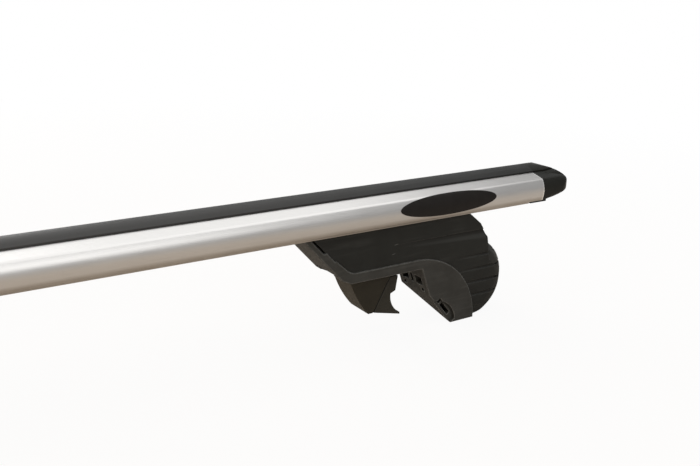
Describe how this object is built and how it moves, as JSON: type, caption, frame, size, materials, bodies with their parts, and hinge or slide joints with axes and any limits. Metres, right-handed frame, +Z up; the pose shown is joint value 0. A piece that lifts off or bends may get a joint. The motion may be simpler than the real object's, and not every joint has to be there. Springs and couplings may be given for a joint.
{
  "type": "roof rack crossbar",
  "caption": "Aluminium roof crossbar with a rubber top strip, tapered end caps and sliding feet whose screw-driven inner jaws clamp raised roof rails.",
  "frame": {"origin": "on the ground under the middle of the bar, level with the soles of the two feet", "axes": "+X along the bar to the end with the badge plate, -Y to the front face with the badge plate, +Z up"},
  "size_m": [1.272, 0.0568, 0.128],
  "materials": {
    "anodised_aluminium": "satin anodised",
    "strip_rubber": "matt rubber",
    "cap_plastic": "fine grained",
    "badge_black": "satin black",
    "foot_plastic": "textured, scuffed",
    "cover_plastic": "fine grained",
    "saddle_rubber": "matt rubber",
    "jaw_plastic": "moulded",
    "claw_plastic": "moulded",
    "zinc_steel": "zinc plated"
  },
  "bodies": {
    "bar": {"bar_extrusion": "anodised_aluminium", "top_slot_strip": "strip_rubber", "badge_oval": "badge_black", "end_cap_right": "cap_plastic", "end_cap_left": "cap_plastic"},
    "foot_right": {"foot_base_right": "foot_plastic", "foot_cover_right": "cover_plastic", "saddle_pad_right": "saddle_rubber", "slot_bolts_right": "zinc_steel", "slot_washers_right": "zinc_steel", "slot_nuts_right": "zinc_steel"},
    "jaw_right": {"inner_jaw_right": "jaw_plastic", "jaw_claw_right": "claw_plastic", "claw_screws_right": "zinc_steel", "jaw_nut_right": "zinc_steel"},
    "screw_right": {"clamp_screw_right": "zinc_steel", "screw_washer_right": "zinc_steel", "screw_clip_right": "zinc_steel"},
    "foot_left": {"foot_base_left": "foot_plastic", "foot_cover_left": "cover_plastic", "saddle_pad_left": "saddle_rubber", "slot_bolts_left": "zinc_steel", "slot_washers_left": "zinc_steel", "slot_nuts_left": "zinc_steel"},
    "jaw_left": {"inner_jaw_left": "jaw_plastic", "jaw_claw_left": "claw_plastic", "claw_screws_left": "zinc_steel", "jaw_nut_left": "zinc_steel"},
    "screw_left": {"clamp_screw_left": "zinc_steel", "screw_washer_left": "zinc_steel", "screw_clip_left": "zinc_steel"}
  },
  "joints": [
    {"name": "foot_right_slide", "type": "slide", "parent": "bar", "child": "foot_right", "axis": [1, 0, 0], "range_m": [-0.12, 0.02]},
    {"name": "jaw_right_slide", "type": "slide", "parent": "foot_right", "child": "jaw_right", "axis": [1, 0, 0], "range_m": [-0.012, 0.006]},
    {"name": "clamp_right_turn", "type": "hinge", "parent": "foot_right", "child": "screw_right", "pos_m": [0.46, 0, 0.076], "axis": [-1, 0, 0], "range_deg": [-3456, 1728]},
    {"name": "foot_left_slide", "type": "slide", "parent": "bar", "child": "foot_left", "axis": [-1, 0, 0], "range_m": [-0.12, 0.02]},
    {"name": "jaw_left_slide", "type": "slide", "parent": "foot_left", "child": "jaw_left", "axis": [-1, 0, 0], "range_m": [-0.012, 0.006]},
    {"name": "clamp_left_turn", "type": "hinge", "parent": "foot_left", "child": "screw_left", "pos_m": [-0.46, 0, 0.076], "axis": [1, 0, 0], "range_deg": [-3456, 1728]}
  ],
  "couplings": [
    {"joint": "clamp_right_turn", "follows": "jaw_right_slide", "rad_per_m": 5026.5},
    {"joint": "clamp_left_turn", "follows": "jaw_left_slide", "rad_per_m": 5026.5}
  ]
}
